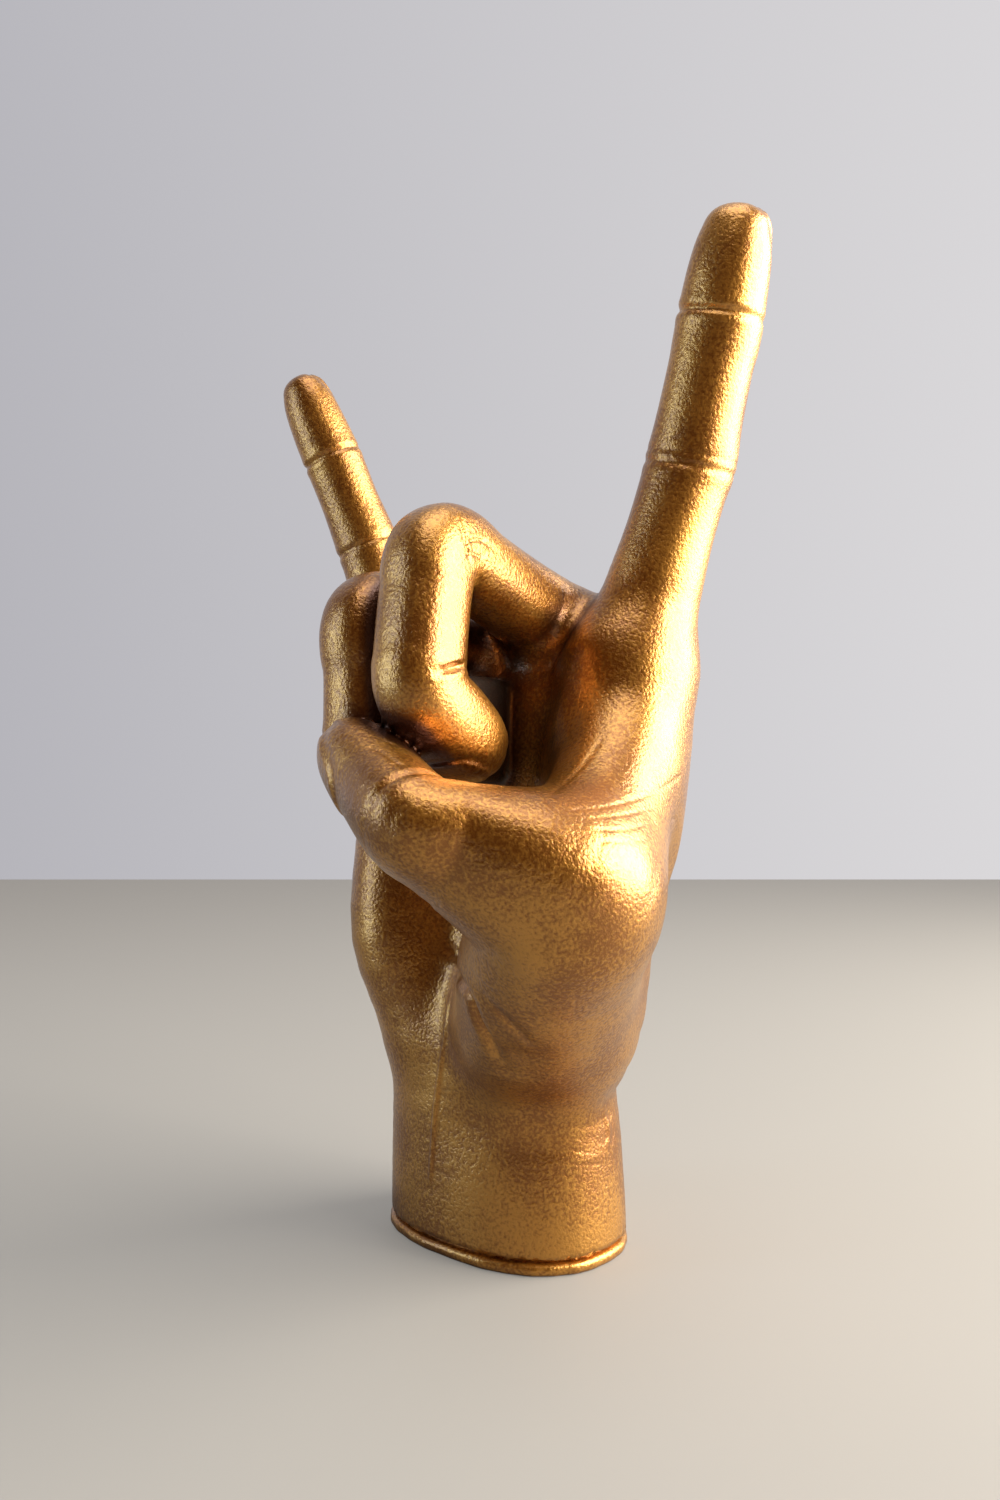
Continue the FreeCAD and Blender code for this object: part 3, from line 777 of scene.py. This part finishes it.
def finer(points, triangles, near, least):
    """The triangles split at the middles of the long edges whose two ends are near a detail."""
    sides = np.sort(triangles[:, [[0, 1], [1, 2], [2, 0]]].reshape(-1, 2), axis=1)
    sides, which = np.unique(sides, axis=0, return_inverse=True)
    lengths = np.linalg.norm(points[sides[:, 0]] - points[sides[:, 1]], axis=1)
    split = near[sides].all(1) & (lengths > least)
    middle = np.full(len(sides), -1)
    middle[split] = len(points) + np.arange(split.sum())
    middles = middle[which.reshape(-1, 3)]
    count = (middles >= 0).sum(1)
    result = [triangles[count == 0]]
    # Turn a triangle with one split side so that it comes first, and with two so that they do
    turn = np.zeros(len(triangles), int)
    turn[count == 1] = (middles >= 0).argmax(1)[count == 1]
    turn[count == 2] = (middles < 0).argmax(1)[count == 2] + 1
    order = (turn[:, None] + np.arange(3)) % 3
    a, b, c = np.take_along_axis(triangles, order, 1).T
    ab, bc, ca = np.take_along_axis(middles, order, 1).T
    one, two, three = count == 1, count == 2, count == 3
    for which_ones, pieces in (
        (one, ((a, ab, c), (ab, b, c))),
        (two, ((ab, b, bc), (a, ab, bc), (a, bc, c))),
        (three, ((a, ab, ca), (ab, b, bc), (bc, c, ca), (ab, bc, ca))),
    ):
        result += [np.stack(piece, 1)[which_ones] for piece in pieces]
    return np.vstack([points, points[sides[split]].mean(1)]), np.vstack(result)


for _ in range(2):
    near = relief(skin_vertices, skin_normals)[1]
    skin_vertices, skin_triangles = finer(skin_vertices, skin_triangles, near, FINEST)
    skin_vertices, skin_normals = on_skin(skin_vertices)

# Hollows are browner: partly where the brush and the spray reach less and the paint lies thin,
# and partly painted shade, laid into the colour where the room before the skin, out to the
# reach, is small. The plug is bare, and its edge fades out.
OPEN_REACH = 7
OPEN_SHARE = 1.05
PLUG_EDGE = 0.7
bare = np.clip(2 - np.abs(forms["curl_plug"].distance(skin_vertices)) / PLUG_EDGE, 0, 1)
room_ahead = skin_distance(skin_vertices + OPEN_REACH * skin_normals) / OPEN_REACH
hollow = np.clip(OPEN_SHARE - room_ahead, 0, 1)
skin_height, _ = relief(skin_vertices, skin_normals)
skin_vertices = skin_vertices + skin_height[:, None] * skin_normals

skin_mesh = bpy.data.meshes.new("hand_casting")
skin_mesh.vertices.add(len(skin_vertices))
skin_mesh.vertices.foreach_set("co", (skin_vertices * MM).ravel())
skin_mesh.loops.add(skin_triangles.size)
skin_mesh.loops.foreach_set("vertex_index", skin_triangles.ravel().astype(np.int32))
skin_mesh.polygons.add(len(skin_triangles))
skin_mesh.polygons.foreach_set("loop_start", np.arange(0, skin_triangles.size, 3, dtype=np.int32))
skin_mesh.update(calc_edges=True)
skin_mesh.validate()
skin_mesh.shade_smooth()
skin_mesh.attributes.new("hollow", "FLOAT", "POINT").data.foreach_set("value", hollow.astype(np.float32))
skin_mesh.attributes.new("bare", "FLOAT", "POINT").data.foreach_set("value", bare.astype(np.float32))
skin = bpy.data.objects.new("hand_casting", skin_mesh)
bpy.context.scene.collection.objects.link(skin)
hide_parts("palm_shell", "index_finger", "middle_finger", "ring_finger", "little_finger", "thumb")
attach(skin, "root")

# Gold paint, a lacquer full of fine brass flakes, brushed and sprayed on fired clay. The
# flakes are a metal of orange gold, and the clear lacquer over them shines pale. In hollows
# it is browner, partly where it lies thin and partly as painted shade, and the clay of the
# plug is bare. The flakes are drawn 0.7 mm wide, coarser than real, so that their grain shows.
GOLD = "#D0943A"
DEEP_GOLD = "#9C621A"
# The brown of the hollows: partly thin paint, partly painted shade
HOLLOW_BROWN_AND_SHADE = "#5A3010"
BARE_CLAY = "#3A2F28"
FLAKE_WIDTH = 0.7
FLAKE_RISE = 0.2
CLOUD_WIDTH = 18
gold = bpy.data.materials.new("gold_paint_on_ceramic")
gold.use_nodes = True
paint = gold.node_tree.nodes["Principled BSDF"]
place = add_node(gold, "ShaderNodeTexCoord")
clouds = add_node(gold, "ShaderNodeTexNoise", {"Scale": 1 / (CLOUD_WIDTH * MM), "Detail": 4.0},
                  {"Vector": place.outputs["Object"]})
flakes = add_node(gold, "ShaderNodeTexNoise", {"Scale": 1 / (FLAKE_WIDTH * MM), "Detail": 2.0},
                  {"Vector": place.outputs["Object"]})
both = add_node(gold, "ShaderNodeMath", {"operation": "ADD"}, {0: clouds.outputs[0], 1: flakes.outputs[0]})
spread = add_node(gold, "ShaderNodeMapRange", {"From Min": 0.85, "From Max": 1.15}, {0: both.outputs[0]})
tone = add_node(gold, "ShaderNodeMix", {"data_type": "RGBA"}, {0: spread.outputs[0]})
tone.inputs[6].default_value = linear(DEEP_GOLD)
tone.inputs[7].default_value = linear(GOLD)
# How hollow the skin is: this darkening is partly thin paint and partly painted shade
hollows = add_node(gold, "ShaderNodeAttribute", {"attribute_name": "hollow"})
thin_paint_and_shade = add_node(gold, "ShaderNodeMapRange", {"From Min": 0.25, "From Max": 0.9},
                {0: hollows.outputs["Fac"]})
shade = add_node(gold, "ShaderNodeMix", {"data_type": "RGBA"}, {0: thin_paint_and_shade.outputs[0], 6: tone.outputs[2]})
shade.inputs[7].default_value = linear(HOLLOW_BROWN_AND_SHADE)
plugs = add_node(gold, "ShaderNodeAttribute", {"attribute_name": "bare"})
clay = add_node(gold, "ShaderNodeMix", {"data_type": "RGBA"},
                {0: plugs.outputs["Fac"], 6: shade.outputs[2]})
clay.inputs[7].default_value = linear(BARE_CLAY)
gold.node_tree.links.new(clay.outputs[2], paint.inputs["Base Color"])
metal = add_node(gold, "ShaderNodeMapRange", {"To Min": 0.85, "To Max": 0.1},
                 {0: plugs.outputs["Fac"]})
gold.node_tree.links.new(metal.outputs[0], paint.inputs["Metallic"])
paint.inputs["Roughness"].default_value = 0.35
shine = add_node(gold, "ShaderNodeMapRange", {"To Min": 0.7, "To Max": 0.05},
                 {0: plugs.outputs["Fac"]})
gold.node_tree.links.new(shine.outputs[0], paint.inputs["Coat Weight"])
paint.inputs["Coat Roughness"].default_value = 0.26
paint.inputs["Coat IOR"].default_value = 1.65
grain = add_node(gold, "ShaderNodeBump", {"Strength": 0.8, "Distance": FLAKE_RISE * MM},
                 {"Height": flakes.outputs[0]})
gold.node_tree.links.new(grain.outputs[0], paint.inputs["Normal"])
gold.node_tree.links.new(grain.outputs[0], paint.inputs["Coat Normal"])
skin_mesh.materials.append(gold)


# The base plate, a slab of clay rolled out and luted under the wrist: a board with soft
# edges, a bed a little smaller that leaves the dark joint line, a step inside the wrist
# and a vent hole through the middle. It is painted with the rest.
PLATE_HALF_WIDTH = 29.6
PLATE_BACK = 21
PLATE_FRONT = 21.8
PLATE_BOXY = 2.35
VENT_RADIUS = 3
PLATE_SIDES = 192
PLATE_WOBBLE = 0.12
# Only the rim, drawn in less than this, is uneven
RIM_INSET = 1
# Rows up the plate: drawn in from its edge, or None for the vent's edge; height
PLATE_ROWS = (
    (None, 0), (1.2, 0), (0.35, 0.2), (0, 0.8), (0, 1.6), (0.2, 2.2), (0.8, 2.55), (2.2, 2.6),
    (2.2, 3.1), (6.1, 3.1), (6.1, 5.9), (6.4, 6.1), (None, 6.1),
)


def plate_surface():
    """Rings of the plate, each a superellipse: half width and depth less the inset, times
    cosine and sine to the power 2 over the boxiness, with a ripple of three waves on the rim."""
    angle = np.arange(PLATE_SIDES) * 2 * math.pi / PLATE_SIDES
    cosine = np.cos(angle)
    sine = np.sin(angle)
    waves = np.sin(5 * angle + 1) + 0.6 * np.sin(13 * angle) + 0.4 * np.sin(29 * angle + 2)
    rings = []
    for inset, height in PLATE_ROWS:
        if inset is None:
            x, y = VENT_RADIUS * cosine, VENT_RADIUS * sine
        else:
            uneven = PLATE_WOBBLE * waves if inset < RIM_INSET else 0
            wide = PLATE_HALF_WIDTH - inset + uneven
            deep = np.where(sine > 0, PLATE_BACK, PLATE_FRONT) - inset + uneven
            x = wide * np.sign(cosine) * np.abs(cosine) ** (2 / PLATE_BOXY)
            y = deep * np.sign(sine) * np.abs(sine) ** (2 / PLATE_BOXY)
        rings.append(np.stack((x, y, np.full(PLATE_SIDES, float(height))), 1))
    count = len(rings)
    first = np.arange(count * PLATE_SIDES).reshape(count, PLATE_SIDES)
    next_ring = np.roll(first, -1, 0)
    quads = np.stack((first, np.roll(first, -1, 1), np.roll(next_ring, -1, 1), next_ring), -1)
    return np.vstack(rings), quads.reshape(-1, 4)


plate_vertices, plate_quads = plate_surface()
plate_mesh = bpy.data.meshes.new("base_plate_board")
plate_mesh.from_pydata([tuple(v) for v in plate_vertices * MM], [], [tuple(q) for q in plate_quads])
plate_mesh.validate()
plate_mesh.shade_smooth()
plate_mesh.set_sharp_from_angle(angle=math.radians(50))
plate_mesh.materials.append(gold)
plate = bpy.data.objects.new("base_plate_board", plate_mesh)
bpy.context.scene.collection.objects.link(plate)
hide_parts("base_plate")
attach(plate, "root")
